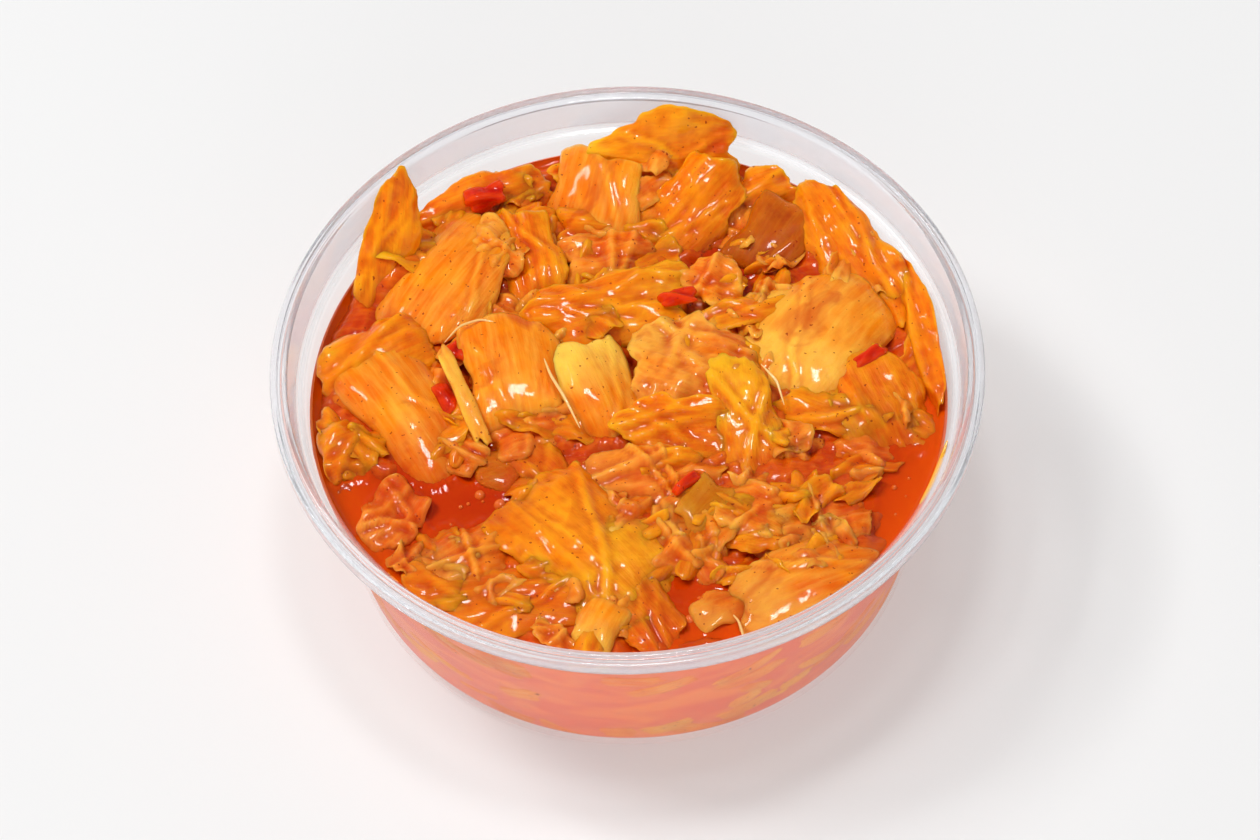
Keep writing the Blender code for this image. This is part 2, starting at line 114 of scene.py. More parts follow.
# Pieces seen in the photo: kind, place of the middle in millimetres, turns in degrees, length, width and the
# thickness of root and tip in millimetres, bends in degrees, height of the frill in millimetres, and shares
# from 0 to 1 for how round and how pale the piece is
Piece = collections.namedtuple(
    "Piece", "kind x y z heading pitch roll length width root tip arch cup frill round pale"
)
PIECES = [
    Piece("leaf", 8, 46.5, 38.5, 0, 0, 48, 25.5, 15, 1.6, 1.0, 24, 18, 1.0, 0.5, 0.8),
    Piece("stem", -5, 39.5, 35.2, 75, 24, -10, 17.5, 16, 3.5, 1.8, 9, 30, 0.4, 0.3, 0.6),
    Piece("leaf", 11, 36, 36, 42, 20, 12, 21, 15, 2.0, 1.0, 15, 36, 0.9, 0.5, 0.3),
    Piece("leaf", 24, 40, 35, 22, 8, 25, 12, 9, 1.4, 0.8, 18, 24, 0.9, 0.6, 0.1),
    Piece("dark", 25, 31, 34.5, 55, 12, 0, 14.5, 11.5, 3.0, 2.4, 6, 6, 0.2, 0.3, 0.0),
    Piece("leaf", 37, 27, 36.5, 118, 5, -20, 27.5, 15, 1.8, 0.9, 18, 36, 0.9, 0.6, 0.3),
    Piece("stem", 31, 10, 36, 50, 5, 0, 26.5, 24, 4.0, 2.2, 33, 48, 0.5, 0.7, 0.8),
    Piece("leaf", 47.5, 12, 35, -79, -2, 45, 36.5, 10.5, 1.6, 1.0, 12, 24, 0.8, 0.5, 0.1),
    Piece("leaf", 43, 21, 34.5, -81, 0, 30, 22, 7, 1.5, 0.9, 12, 24, 0.8, 0.5, 0.0),
    Piece("leaf", 42, -5, 34.5, 113, 12, 0, 21, 17, 1.2, 2.0, 21, 36, 0.8, 0.8, 0.6),
    Piece("leaf", 33, -6, 34.8, -19, -4, 10, 17.5, 7, 1.4, 0.9, 9, 36, 0.5, 0.3, 0.4),
    Piece("crumple", 37, -13, 32.6, -3, 0, 0, 13, 9.5, 3.0, 2.2, 24, 36, 0.5, 0.8, 0.2),
    Piece("crumple", 28, -12, 33, -7, 0, 10, 7.5, 5.5, 2.4, 1.6, 24, 24, 0.5, 0.7, 0.3),
    Piece("leaf", 19, -8, 36, -86, -14, 0, 24, 11, 1.6, 1.0, 21, 54, 0.7, 0.5, 0.7),
    Piece("leaf", 7, -8, 35.5, -4, -3, 22, 18.5, 11.5, 1.2, 1.2, 0, -54, 0.4, 0.9, 0.4),
    Piece("crumple", 10, 4, 36.8, -22, 0, 8, 20, 19.5, 1.6, 1.0, 24, 24, 1.5, 0.7, 0.6),
    Piece("stem", -19, 5, 36, 99, 8, 0, 20, 16, 4.0, 3.2, 9, 15, 0.3, 0.25, 0.3),
    Piece("leaf", -2, 16.5, 36.5, -170, -2, -12, 27.5, 13.5, 1.0, 1.6, 18, 27, 0.9, 0.5, 0.5),
    Piece("stem", -5, 1, 36, -68, -8, 0, 18.5, 12.5, 3.0, 1.8, 18, 33, 0.7, 0.4, 0.9),
    Piece("leaf", -16, 27, 35.5, 100, 12, -8, 20, 11.5, 2.2, 1.0, 18, 36, 0.8, 0.5, 0.5),
    Piece("stem", -30, 24, 36, 55, 6, -8, 28.5, 18, 3.8, 2.0, 27, 42, 0.5, 0.6, 0.2),
    Piece("crumple", -22, 29, 37, -45, 3, 10, 12, 10.5, 1.6, 0.9, 30, 24, 1.2, 0.6, 0.3),
    Piece("leaf", -39, 28, 38, 80, 40, 20, 26, 10.5, 1.4, 0.8, -9, 36, 1.1, 0.5, 0.4),
    Piece("leaf", -24, 40, 34.5, 19, 3, 30, 26.5, 10.5, 1.6, 0.9, 18, 30, 1.0, 0.5, 0.0),
    Piece("stem", -36.5, -1, 34.8, -58, -6, 0, 34, 16, 3.8, 2.4, 27, 54, 0.5, 0.5, 0.1),
    Piece("leaf", -42, 8, 35.5, 30, 5, 10, 21, 13.5, 2.0, 1.2, 24, 36, 0.8, 0.5, 0.3),
    Piece("leaf", -46, -9, 34, 30, -5, 10, 13, 11.5, 2.0, 1.2, 30, 36, 0.9, 0.8, 0.2),
    Piece("stem", -27, -1, 36.8, -69, -8, 0, 19, 2.6, 2.4, 1.6, 10, 60, 0.1, 0.2, 0.8),
    Piece("crumple", -17, -6, 34, 18, 3, 0, 13, 10.5, 2.6, 1.4, 24, 24, 1.0, 0.7, 0.4),
    Piece("green", -21.5, -13, 33, 12, 0, 0, 9, 9, 2.0, 1.6, 12, 18, 0.2, 1.0, 0.4),
    Piece("crumple", -39, -22, 33, 59, 5, 0, 14.5, 10.5, 2.6, 1.6, 18, -36, 0.5, 0.8, 0.3),
    Piece("crumple", -27, -31, 33.4, 26, 3, 0, 16.5, 13.5, 2.8, 1.6, 27, 30, 0.9, 0.6, 0.4),
    Piece("leaf", -22, -39, 34, -1, 4, 6, 32, 13.5, 1.8, 1.4, 15, 36, 0.8, 0.5, 0.4),
    Piece("leaf", -7, -30, 35, 131, 4, 0, 32, 21.5, 3.4, 1.8, 24, 33, 0.8, 0.5, 0.95),
    Piece("stem", -6, -45, 34, 59, 8, 0, 10, 8, 4.0, 3.0, 12, 42, 0.2, 0.5, 1.0),
    Piece("leaf", 2, -43.5, 33.8, -58, -6, 0, 13, 10.5, 2.4, 1.4, 18, 36, 0.8, 0.5, 0.4),
    Piece("crumple", 8, -28, 34.3, 46, 3, 0, 15.5, 13.5, 2.0, 1.2, 24, 30, 1.3, 0.6, 0.4),
    Piece("green", 12, -23, 34.3, 52, 0, 8, 10, 8, 2.4, 1.8, 3, 6, 0.2, 0.2, 0.2),
    Piece("crumple", 20, -25, 34.5, -34, -3, 0, 14.5, 12.5, 2.2, 1.4, 30, 36, 1.2, 0.7, 0.5),
    Piece("crumple", 30, -26, 34, 15, 2, 0, 17.5, 12.5, 2.2, 1.4, 18, 30, 1.1, 0.6, 0.5),
    Piece("stem", 27, -38.5, 34, 22, 2, 4, 25.5, 16, 3.6, 2.6, 21, 30, 0.2, 0.8, 0.7),
    Piece("crumple", 3, -17, 34.5, 8, 1, 6, 24, 12.5, 1.8, 1.2, 18, 30, 1.3, 0.5, 0.4),
    Piece("crumple", -3, 28, 35, 11, 0, 10, 15.5, 10.5, 2.2, 1.4, 18, 24, 1.1, 0.6, 0.3),
    Piece("crumple", 15, 21, 36.5, -25, 0, 5, 11, 9, 1.8, 1.0, 30, 30, 1.2, 0.7, 0.3),
    Piece("leaf", 20, 14.5, 36.2, 14, 0, 0, 17.5, 5.5, 1.4, 1.0, 12, 36, 0.5, 0.3, 0.4),
    Piece("stem", 13, -42, 33, 26, 0, 0, 9, 7, 2.2, 1.6, 18, 30, 0.5, 0.5, 0.9),
    Piece("chilli", -23, 40, 37, 12, 10, 30, 7, 4.5, 1.2, 0.9, 20, 30, 0.2, 0.5, 0.0),
    Piece("chilli", -26, 10, 36, 55, 0, 0, 7, 6, 1.2, 1.0, 10, 20, 0.2, 0.3, 0.0),
    Piece("chilli", -30, 0, 35.2, -67, 0, 0, 7, 4, 1.2, 1.0, 20, 30, 0.2, 0.5, 0.0),
    Piece("chilli", 9, 17, 38, 8, 0, 0, 6.5, 3.4, 1.4, 1.0, 20, 30, 0.3, 0.6, 0.0),
    Piece("chilli", 9, -19, 35.6, 42, 0, 0, 6, 1.8, 1.4, 1.0, 10, 20, 0.1, 0.4, 0.0),
    Piece("chilli", 40, 4, 36.5, 32, 0, 0, 6, 2.4, 1.4, 1.0, 10, 20, 0.1, 0.4, 0.0),
]
KINDS = ("leaf", "stem", "crumple", "dark", "green", "chilli")

# How rough each kind is: number of creases, height of wrinkles and veins in millimetres, share of torn edge
CREASES = {"leaf": 3, "stem": 1, "crumple": 4, "dark": 1, "green": 1, "chilli": 2}
WRINKLES = {"leaf": 0.4, "stem": 0.16, "crumple": 0.8, "dark": 0.2, "green": 0.15, "chilli": 0.35}
VEINS = {"leaf": 0.10, "stem": 0.04, "crumple": 0.08, "dark": 0.03, "green": 0.02, "chilli": 0.0}
TORN = {"leaf": 1.0, "stem": 0.35, "crumple": 0.9, "dark": 0.3, "green": 0.2, "chilli": 0.6}
RAGGED = 0.09

# Colours of each kind: deep, for painted shade in the hollows, for brine staining and painted shade low down
# and for random blotches; then in its body, on its bright patches and where it is pale
DEEP_SHADE_AND_STAIN = (0.56, 0.035, 0.0)
COLOURS = {
    "leaf": (DEEP_SHADE_AND_STAIN, (0.80, 0.125, 0.0), (0.94, 0.22, 0.0), (1.0, 0.42, 0.01)),
    "stem": (DEEP_SHADE_AND_STAIN, (0.84, 0.16, 0.0), (0.96, 0.27, 0.0), (1.0, 0.56, 0.07)),
    "crumple": (DEEP_SHADE_AND_STAIN, (0.78, 0.105, 0.0), (0.94, 0.22, 0.0), (1.0, 0.46, 0.06)),
    "dark": ((0.3, 0.02, 0.0), (0.42, 0.05, 0.0), (0.55, 0.11, 0.0), (0.62, 0.2, 0.01)),
    "green": (DEEP_SHADE_AND_STAIN, (0.48, 0.13, 0.0), (0.60, 0.21, 0.0), (0.68, 0.32, 0.03)),
    "chilli": ((0.30, 0.0, 0.0), (0.58, 0.006, 0.0), (0.72, 0.02, 0.0), (0.85, 0.08, 0.0)),
    "mush": ((0.48, 0.022, 0.0), (0.62, 0.05, 0.0), (0.78, 0.11, 0.0), (0.92, 0.26, 0.01)),
    "pressed": ((0.9, 0.12, 0.0), (0.92, 0.15, 0.0), (0.96, 0.22, 0.01), (1.0, 0.38, 0.05)),
}
SPECK_COLOUR = (0.30, 0.012, 0.0)
# Share of the deepening low down for chillies, which is brine staining and painted shade
CHILLI_STAIN_AND_SHADE = 0.2


# Noise

NOISE_CELLS = 64
NOISE_TABLE = np.random.default_rng(NOISE_SEED).random((NOISE_CELLS, NOISE_CELLS)) * 2 - 1
NOISE_START = 1000


def waviness(x, y, size):
    """Smooth noise from -1 to 1 with features of that size."""
    x, y = x / size + NOISE_START, y / size + NOISE_START
    i, j = np.floor(x).astype(int), np.floor(y).astype(int)
    a, b = x - i, y - j
    a, b = a * a * (3 - 2 * a), b * b * (3 - 2 * b)
    i, j = i % NOISE_CELLS, j % NOISE_CELLS
    next_i, next_j = (i + 1) % NOISE_CELLS, (j + 1) % NOISE_CELLS
    low = NOISE_TABLE[i, j] * (1 - a) + NOISE_TABLE[next_i, j] * a
    high = NOISE_TABLE[i, next_j] * (1 - a) + NOISE_TABLE[next_i, next_j] * a
    return low * (1 - b) + high * b


def layered(x, y, size, layers=3):
    """Waviness of that size with finer and lower layers added to it."""
    total = np.zeros_like(x)
    for layer in range(layers):
        total += waviness(x + 17 * layer, y - 9 * layer, size / 2**layer) / 2**layer
    return total


# Shapes

def inner_radius(z):
    """The tub's inner wall below its ledge, in millimetres, continued straight on above it."""
    corner, start = BASE_RADIUS - WALL, FLOOR_TOP + FLOOR_CURVE
    return corner + (LEDGE_RADIUS - corner) * np.maximum(z - start, 0) / (LEDGE_HEIGHT - start)


def stay_inside(points):
    """Draws points that come near the tub's wall inwards, so that a piece lies clear of it."""
    limit = inner_radius(points[:, 2]) - GAP
    radius = np.hypot(points[:, 0], points[:, 1])
    start = limit - SQUASH_ZONE
    past = np.maximum(radius - start, 0)
    drawn = np.where(past > 0, start + SQUASH_ZONE * (1 - np.exp(-past / SQUASH_ZONE)), radius)
    factor = drawn / np.maximum(radius, 1e-6)
    return points * np.column_stack([factor, factor, np.ones_like(factor)])


def curved(s, q, piece):
    """Points of the piece's middle surface, s along and q across in millimetres, bent by arch and cup."""
    across = math.radians(piece.cup) / piece.width or 1e-6
    along = math.radians(piece.arch) / piece.length or 1e-6
    y, z = np.sin(q * across) / across, (np.cos(q * across) - 1) / across
    radius = 1 / along + z
    return np.stack([np.sin(s * along) * radius, y, np.cos(s * along) * radius - 1 / along], axis=-1)


def grid(along, across):
    """u along and v across from -1 to 1, how far out each point is, 1 on the edge, and its angle."""
    u, v = np.meshgrid(np.linspace(-1, 1, along + 1), np.linspace(-1, 1, across + 1), indexing="ij")
    return u, v, np.maximum(abs(u), abs(v)), np.arctan2(v, u)


def divisions(size, limits):
    return int(min(max(size / CELL, limits[0]), limits[1]))


def outline(piece, waves, shift, u, v, edge, angle):
    """s along and q across in millimetres: a square drawn towards an oval, its edge wavy and torn."""
    ragged = 1 + RAGGED * edge * (np.sin(3 * angle + waves[0]) + np.sin(5 * angle + waves[1]) * 0.7)
    ragged += TORN[piece.kind] * edge**4 * RAGGED * layered(angle * 4 + shift[0], edge * 2, 1.4)
    s = u * np.sqrt(1 - piece.round * v * v / 2) * ragged * piece.length / 2
    q = v * np.sqrt(1 - piece.round * u * u / 2) * ragged * piece.width / 2
    return s, q


def turn_of(piece):
    """The rotation that sets a level piece at its heading, pitch and roll."""
    turn = (
        Matrix.Rotation(math.radians(piece.heading), 3, "Z")
        @ Matrix.Rotation(-math.radians(piece.pitch), 3, "Y")
        @ Matrix.Rotation(math.radians(piece.roll), 3, "X")
    )
    return np.array(turn)


def cabbage(piece, waves, rng):
    """One piece as a thin solid with creases, veins and a ragged edge: points, faces and what colours it."""
    along, across = divisions(piece.length, ALONG_LIMITS), divisions(piece.width, ACROSS_LIMITS)
    u, v, edge, angle = grid(along, across)
    shift = rng.uniform(0, 500, 2)
    s, q = outline(piece, waves, shift, u, v, edge, angle)
    lift = piece.frill * (
        0.6 * np.sin(2.2 * u + waves[2]) * np.sin(2.6 * v + waves[3])
        + 0.5 * edge**2 * np.sin(4 * angle + waves[4])
    )
    relief, rib = surface_relief(piece, s, q, shift, rng)
    lift += relief + TORN[piece.kind] * 0.5 * edge**3 * layered(s + shift[1], q, 3.5)
    middle = curved(s, q, piece)
    step = 0.05
    normal = np.cross(curved(s + step, q, piece) - middle, curved(s, q + step, piece) - middle)
    normal /= np.linalg.norm(normal, axis=-1, keepdims=True)
    thick = piece.root + (piece.tip - piece.root) * (u + 1) / 2
    half = thick / 2 * np.sqrt(np.maximum(1 - edge**6, 0.03)) * (1 - 0.3 * edge**2)
    turn = turn_of(piece)
    sheets = []
    for side in (half, -half):
        local = (middle + normal * (side + lift)[..., None]).reshape(-1, 3)
        sheets.append(stay_inside(local @ turn.T + (piece.x, piece.y, piece.z)))
    pale = piece.pale * (0.55 - 0.45 * u) + 0.25 * layered(s + shift[0], q + shift[1], 6)
    colours = two_sided(pale, rib, np.stack([s + shift[0], q, s * 0 + shift[1]], axis=-1))
    return np.vstack(sheets), sheet_faces(along, across), colours


def two_sided(pale, rib, grain):
    """What colours a piece of two like sheets: paleness, ribs, and places along its own length and width."""
    return {
        "pale": np.tile(np.clip(pale, 0, 1).ravel(), 2),
        "rib": np.tile(np.clip(rib, 0, 1).ravel(), 2),
        "grain": np.tile(grain.reshape(-1, 3), (2, 1)),
    }


def surface_relief(piece, s, q, shift, rng):
    """Height of the creases, wrinkles and veins, and how strongly a vein shows there."""
    fan = math.radians(rng.uniform(5, 9))
    spread = np.arctan2(q, s + piece.length * rng.uniform(0.7, 1.1))
    wobble = 3.5 * waviness(s + shift[0], q + shift[1], 7)
    strength = 0.5 + 0.5 * waviness(s + shift[1], q + shift[0], 4)
    vein = strength * (0.5 + 0.5 * np.cos(math.tau * spread / fan + wobble)) ** 5
    net = (1 - abs(waviness(s - shift[1], q + shift[0], 1.6))) ** 6
    rib = np.maximum(vein * 0.9, net * 0.5 if piece.kind in ("leaf", "crumple") else 0)
    relief = VEINS[piece.kind] * (vein + 0.4 * net)
    relief += WRINKLES[piece.kind] * layered(s + shift[0], q + shift[1], 4.5, 4) * 0.8
    for _ in range(CREASES[piece.kind]):
        way = rng.uniform(-0.6, 0.6) + (math.pi / 2 if piece.kind == "crumple" and rng.random() < 0.5 else 0)
        away = rng.uniform(-0.35, 0.35) * piece.width
        off = -s * math.sin(way) + q * math.cos(way) - away + 1.2 * waviness(s + shift[1], q, 6)
        width = rng.uniform(0.5, 1.1)
        height = rng.uniform(0.35, 0.9) * (0.5 + WRINKLES[piece.kind])
        relief += height * np.exp(-((off / width) ** 2)) - 0.5 * height * np.exp(-((off / width / 2.5) ** 2))
    return relief, rib


def sheet_faces(along, across):
    """Faces of a solid of two like sheets, joined round the edge."""
    row, count = across + 1, (along + 1) * (across + 1)
    i, j = np.meshgrid(np.arange(along), np.arange(across), indexing="ij")
    a = (i * row + j).ravel()
    top = np.column_stack([a, a + row, a + row + 1, a + 1])
    border = [k * row for k in range(along)]
    border += [along * row + k for k in range(across)]
    border += [k * row + across for k in range(along, 0, -1)]
    border += list(range(across, 0, -1))
    here = np.array(border)
    after = np.roll(here, -1)
    skirt = np.column_stack([here, count + here, count + after, after])
    return np.vstack([top, top[:, ::-1] + count, skirt])


def joined(name, parts, nodes, finish):
    """One smooth mesh object of several parts, each of points, faces and colour values, in millimetres."""
    points = np.vstack([part[0] for part in parts])
    starts = np.cumsum([0] + [len(part[0]) for part in parts[:-1]])
    faces = np.vstack([part[1] + start for part, start in zip(parts, starts, strict=True)])
    mesh = bpy.data.meshes.new(name)
    mesh.from_pydata((points * MM).tolist(), [], faces.tolist())
    for colour in parts[0][2]:
        values = np.concatenate([part[2][colour] for part in parts]).astype(np.float32)
        if colour == "grain":
            mesh.attributes.new(colour, "FLOAT_VECTOR", "POINT").data.foreach_set("vector", values.ravel())
        else:
            mesh.attributes.new(colour, "FLOAT", "POINT").data.foreach_set("value", values)
    placed(name, mesh, nodes, finish)


def placed(name, mesh, nodes, finish):
    """Puts a mesh in the scene as a smooth piece of the root body that stands for those CAD nodes."""
    mesh.polygons.foreach_set("use_smooth", [True] * len(mesh.polygons))
    mesh.materials.append(finish)
    mesh.update()
    made = bpy.data.objects.new(name, mesh)
    bpy.context.scene.collection.objects.link(made)
    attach(made, "root")
    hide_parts(*nodes)


def bed_height(x, y):
    """Height of the mush under the pieces: below the brine in the pools, raised towards each piece."""
    low = BRINE_LEVEL - BED_DEPTH
    height = np.full_like(x, MUSH_LEVEL)
    for pool_x, pool_y, wide, deep in POOLS:
        far = ((x - pool_x) / wide) ** 2 + ((y - pool_y) / deep) ** 2
        height -= (MUSH_LEVEL - low) * np.exp(-far * 1.2)
    height -= (MUSH_LEVEL - low) * np.exp((np.hypot(x, y) - BED_RADIUS) / BED_FALL)
    height = np.maximum(height, low)
    for piece in PIECES:
        reach = 0.6 * (piece.length + piece.width) / 2
        far = np.hypot(x - piece.x, y - piece.y) / reach
        top = piece.z - 0.6 * (piece.root + piece.tip) / 2
        rise = (top - low) * np.maximum(1 - far**2, 0) ** 1.2
        height = np.maximum(height, low + rise)
    return height


def disc(radius_at_edge, rings, spokes):
    """x and y of points on rings round a small hole in the middle, and the faces between the rings."""
    radii = np.linspace(DISC_HOLE, 1, rings) * radius_at_edge
    angles = np.arange(spokes) * math.tau / spokes
    r, a = np.meshgrid(radii, angles, indexing="ij")
    k, spoke = np.meshgrid(np.arange(rings - 1), np.arange(spokes), indexing="ij")
    here = (k * spokes + spoke).ravel()
    after = (k * spokes + (spoke + 1) % spokes).ravel()
    faces = np.column_stack([here, here + spokes, after + spokes, after])
    return (r * np.cos(a)).ravel(), (r * np.sin(a)).ravel(), faces


def turned(name, profile, nodes, finish):
    """A (radius, height) profile in millimetres turned about Z; a zero radius ends it on the axis."""
    angles = np.arange(TURNED_STEPS) * math.tau / TURNED_STEPS
    points, rows = [], []
    for radius, height in profile:
        if radius == 0:
            rows.append([len(points)] * TURNED_STEPS)
            points.append((0, 0, height))
        else:
            rows.append(list(range(len(points), len(points) + TURNED_STEPS)))
            points += [(radius * math.cos(a), radius * math.sin(a), height) for a in angles]
    faces = []
    for low, high in zip(rows, rows[1:]):
        for k in range(TURNED_STEPS):
            n = (k + 1) % TURNED_STEPS
            faces.append(list(dict.fromkeys((low[k], low[n], high[n], high[k]))))
    mesh = bpy.data.meshes.new(name)
    mesh.from_pydata([tuple(c * MM for c in p) for p in points], [], faces)
    placed(name, mesh, nodes, finish)


def rounded(corners):
    """A (radius, height) profile from corners of radius, height and how far the bend there reaches."""
    profile = [corners[0][:2]]
    for before, corner, after in zip(corners, corners[1:], corners[2:]):
        place = Vector(corner[:2])
        into = Vector(before[:2]) - place
        out = Vector(after[:2]) - place
        reach = min(corner[2], into.length * 0.48, out.length * 0.48)
        start = place + into.normalized() * reach
        end = place + out.normalized() * reach
        for k in range(BEND_STEPS + 1):
            t = k / BEND_STEPS
            profile.append(tuple(start * (1 - t) ** 2 + place * 2 * t * (1 - t) + end * t * t))
    profile.append(corners[-1][:2])
    return profile


# Materials

def new_material(name):
    """A material with its node tree and its shader."""
    made = bpy.data.materials.new(name)
    made.use_nodes = True
    return made, made.node_tree, made.node_tree.nodes["Principled BSDF"]


def feed(tree, socket, value):
    """Links a socket to another one, or sets it to a plain value."""
    if isinstance(value, bpy.types.NodeSocket):
        tree.links.new(value, socket)
    else:
        socket.default_value = value


def add(tree, kind, **settings):
    """A shader node; settings name its properties, or its sockets by their words joined with underscores."""
    node = tree.nodes.new("ShaderNode" + kind)
    for name, value in settings.items():
        socket = next((s for s in node.inputs if s.name.lower().replace(" ", "_") == name), None)
        if socket is None:
            setattr(node, name, value)
        else:
            feed(tree, socket, value)
    return node


def blend(tree, factor, first, second):
    """Colour socket that mixes two colours, each a socket or an RGB triple."""
    node = add(tree, "Mix", data_type="RGBA")
    feed(tree, node.inputs[0], factor)
    for socket, colour in ((node.inputs[6], first), (node.inputs[7], second)):
        feed(tree, socket, (*colour, 1) if isinstance(colour, tuple) else colour)
    return node.outputs[2]


def attribute(tree, name):
    return add(tree, "Attribute", attribute_name=name).outputs["Fac"]


def ramp(tree, factor, low, high, start=0.0, end=1.0):
    """Factor stretched so that low becomes start and high becomes end, and held there beyond them."""
    node = add(tree, "MapRange", value=factor, from_min=low, from_max=high, to_min=start, to_max=end)
    return node.outputs["Result"]


def noise(tree, scale, detail=4.0, stretch=(1, 1, 1), distortion=0.0, grain=False):
    """Noise over the object's own space, or over a piece's own length and width, which is in millimetres."""
    if grain:
        coordinates = add(tree, "Attribute", attribute_name="grain").outputs["Vector"]
    else:
        coordinates = add(tree, "TexCoord").outputs["Object"]
    mapping = add(tree, "Mapping", vector=coordinates, scale=stretch)
    place = mapping.outputs["Vector"]
    node = add(tree, "TexNoise", vector=place, scale=scale, detail=detail, distortion=distortion)
    return node.outputs["Fac"]


def combine(tree, operation, a, b):
    """Socket of a sum, product or the like of two values, each a socket or a number."""
    node = add(tree, "Math", operation=operation)
    feed(tree, node.inputs[0], a)
    feed(tree, node.inputs[1], b)
    return node.outputs[0]


def multiply(tree, a, b):
    return combine(tree, "MULTIPLY", a, b)


def height_above_table(tree):
    return add(tree, "SeparateXYZ", vector=add(tree, "TexCoord").outputs["Object"]).outputs["Z"]


def scatter(shader, weight, radius, scale):
    """Light scattered inside: how much, how far in red, green and blue, and the scale of that in metres."""
    shader.inputs["Subsurface Weight"].default_value = weight
    shader.inputs["Subsurface Radius"].default_value = radius
    shader.inputs["Subsurface Scale"].default_value = scale


def roughen(tree, shader, height, strength, distance):
    """Bumps in the shader's surface by a height socket; the distance is in metres."""
    bump = add(tree, "Bump", strength=strength, distance=distance, height=height)
    tree.links.new(bump.outputs["Normal"], shader.inputs["Normal"])


def cabbage_colour(tree, kind, stain_and_shade):
    """Painted shade deep in the hollows, and deep low down near the liquid as brine staining and painted
    shade together; bright in patches, pale on ridges, ribs and pale ends.
    """
    deep, body, bright, pale = COLOURS[kind]
    # Brine staining and painted shade: deeper towards the liquid, low in the heap.
    low_stain_and_shade = ramp(tree, height_above_table(tree), 36 * MM, 32.5 * MM)
    # Painted shade in the hollows, where the surface bends inwards.
    hollow_shade = ramp(tree, add(tree, "NewGeometry").outputs["Pointiness"], 0.51, 0.45)
    ridge = ramp(tree, add(tree, "NewGeometry").outputs["Pointiness"], 0.51, 0.57)
    patches = ramp(tree, noise(tree, 0.13, 4.0, distortion=0.6, grain=True), 0.38, 0.66)
    fibres = ramp(tree, noise(tree, 1.0, 4.0, (0.12, 1.1, 1.0), 0.4, grain=True), 0.40, 0.66)
    colour = blend(tree, patches, body, bright)
    colour = blend(tree, multiply(tree, fibres, 0.32), colour, pale)
    colour = blend(tree, ramp(tree, attribute(tree, "pale"), 0.2, 0.9), colour, pale)
    colour = blend(tree, multiply(tree, attribute(tree, "rib"), 0.3), colour, pale)
    colour = blend(tree, multiply(tree, ridge, 0.4), colour, pale)
    colour = blend(tree, multiply(tree, low_stain_and_shade, stain_and_shade), colour, deep)
    colour = blend(tree, multiply(tree, hollow_shade, 0.75), colour, deep)
    blush = ramp(tree, noise(tree, 110, 3.0, distortion=1.0), 0.60, 0.72)
    colour = blend(tree, multiply(tree, blush, 0.55), colour, deep)
    specks = ramp(tree, noise(tree, 1300, 1.0), 0.72, 0.75)
    return blend(tree, multiply(tree, specks, 0.85), colour, SPECK_COLOUR)


def cabbage_material(kind, wet=0.9, subsurface=0.45, stain_and_shade=0.7):
    """Wet cabbage, deep low down with brine staining and painted shade, and with painted shade in its
    hollows.
    """
    made, tree, shader = new_material(kind + "_look")
    tree.links.new(cabbage_colour(tree, kind, stain_and_shade), shader.inputs["Base Color"])
    scatter(shader, subsurface, (1.0, 0.45, 0.1), 0.003)
    shader.inputs["Roughness"].default_value = 0.4
    shader.inputs["IOR"].default_value = 1.33
    shader.inputs["Specular IOR Level"].default_value = 0.2
    shader.inputs["Coat Weight"].default_value = wet
    shader.inputs["Coat Roughness"].default_value = 0.07
    shader.inputs["Coat IOR"].default_value = 1.33
    fibres = noise(tree, 1.6, 3.0, (0.2, 1.2, 1.0), 0.3, grain=True)
    roughen(tree, shader, combine(tree, "ADD", fibres, noise(tree, 700, 4.0)), 0.6, 0.00025)
    return made


def brine_material():
    """Murky chilli brine: dark red-orange in the pools, with painted light making it brighter towards the
    wall, where light comes in through the clear side.
    """
    made, tree, shader = new_material("brine")
    flat = add(tree, "VectorMath", operation="MULTIPLY", vector=add(tree, "TexCoord").outputs["Object"])
    flat.inputs[1].default_value = (1, 1, 0)
    off_axis = add(tree, "VectorMath", operation="LENGTH", vector=flat.outputs[0]).outputs["Value"]
    # Painted light: brighter orange towards the wall, where light comes in through the clear side.
    painted_wall_light = ramp(tree, off_axis, 40 * MM, 53 * MM)
    cloudy = ramp(tree, noise(tree, 60, 5.0), 0.35, 0.75)
    colour = blend(tree, cloudy, (0.48, 0.022, 0.0), (0.62, 0.05, 0.0))
    colour = blend(tree, painted_wall_light, colour, (0.70, 0.07, 0.0))
    tree.links.new(colour, shader.inputs["Base Color"])
    scatter(shader, 0.3, (1.0, 0.25, 0.05), 0.003)
    shader.inputs["Roughness"].default_value = 0.08
    shader.inputs["IOR"].default_value = 1.36
    roughen(tree, shader, noise(tree, 120, 2.0), 0.25, 0.0004)
    return made


def packed_material():
    """What shows through the tub's side: salmon brine with streaks of cabbage in it."""
    made, tree, shader = new_material("packed_kimchi")
    streaks = ramp(tree, noise(tree, 70, 5.0, (1, 1, 2.6), 0.8), 0.42, 0.68)
    flecks = ramp(tree, noise(tree, 900, 2.0), 0.68, 0.74)
    colour = blend(tree, streaks, (0.88, 0.10, 0.0), (0.98, 0.20, 0.0))
    colour = blend(tree, multiply(tree, flecks, 0.5), colour, (0.55, 0.06, 0.01))
    tree.links.new(colour, shader.inputs["Base Color"])
    scatter(shader, 0.2, (1.0, 0.4, 0.15), 0.002)
    shader.inputs["Roughness"].default_value = 0.35
    return made


